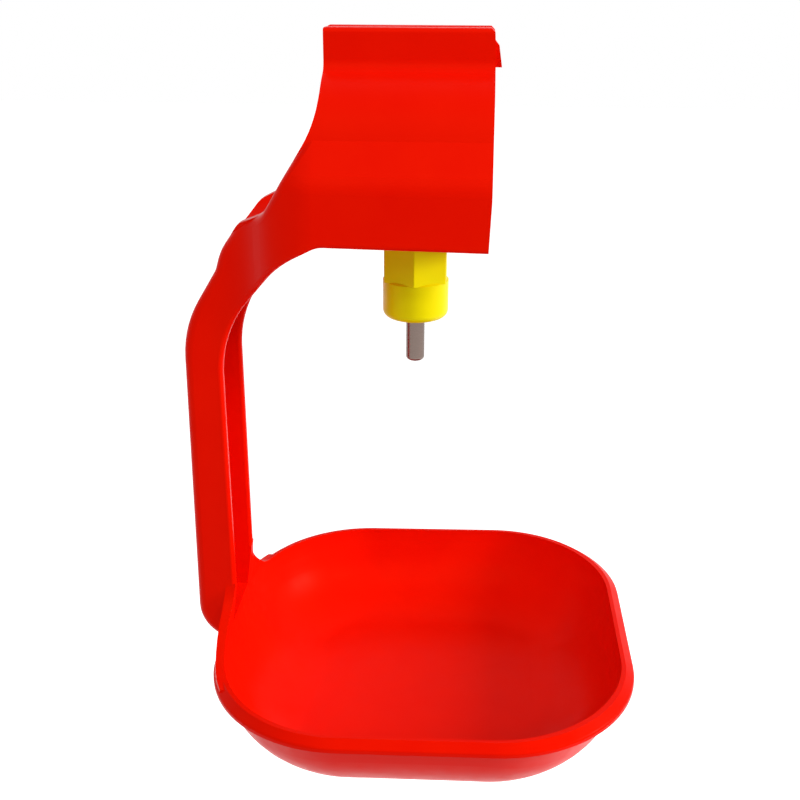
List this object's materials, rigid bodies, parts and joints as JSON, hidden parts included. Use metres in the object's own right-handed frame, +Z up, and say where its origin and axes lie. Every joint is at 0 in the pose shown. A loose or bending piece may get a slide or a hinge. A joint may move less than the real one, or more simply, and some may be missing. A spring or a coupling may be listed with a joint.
{
  "type": "poultry nipple drinker",
  "caption": "Nipple drinker for a poultry water pipe: a clip with a side arm and a square drip cup, moulded in one, and a valve nipple with a trigger pin above the cup.",
  "frame": {"origin": "on the axis of the water pipe that the clip grips, straight above the nipple", "axes": "+X along the pipe, away from the arm; +Y to the back; +Z up; the front of the drinker faces -Y"},
  "size_m": [0.0809, 0.0754, 0.1268],
  "materials": {
    "red_plastic": "semi-gloss moulded plastic, bright orange-red",
    "yellow_plastic": "semi-gloss moulded plastic, yellow",
    "steel": "turned stainless steel",
    "seal": "matt black rubber"
  },
  "bodies": {
    "drinker": {"drip_cup": "red_plastic", "nipple_body": "yellow_plastic", "valve_insert": "steel", "seal_ring": "seal", "inlet_cap": "yellow_plastic"},
    "ball": {"valve_ball": "steel"},
    "stem": {"valve_stem": "steel"},
    "trigger": {"trigger_pin": "steel"}
  },
  "joints": [
    {"name": "valve_lift", "type": "slide", "parent": "drinker", "child": "ball", "axis": [0, 0, 1], "range_m": [0, 0.001]},
    {"name": "valve_spin", "type": "hinge", "parent": "ball", "child": "stem", "pos_m": [0, 0, -0.015], "axis": [0, 0, 1], "continuous": true},
    {"name": "pin_tilt", "type": "hinge", "parent": "stem", "child": "trigger", "pos_m": [0, 0, -0.015], "axis": [0, 1, 0], "range_deg": [-8, 8]}
  ]
}
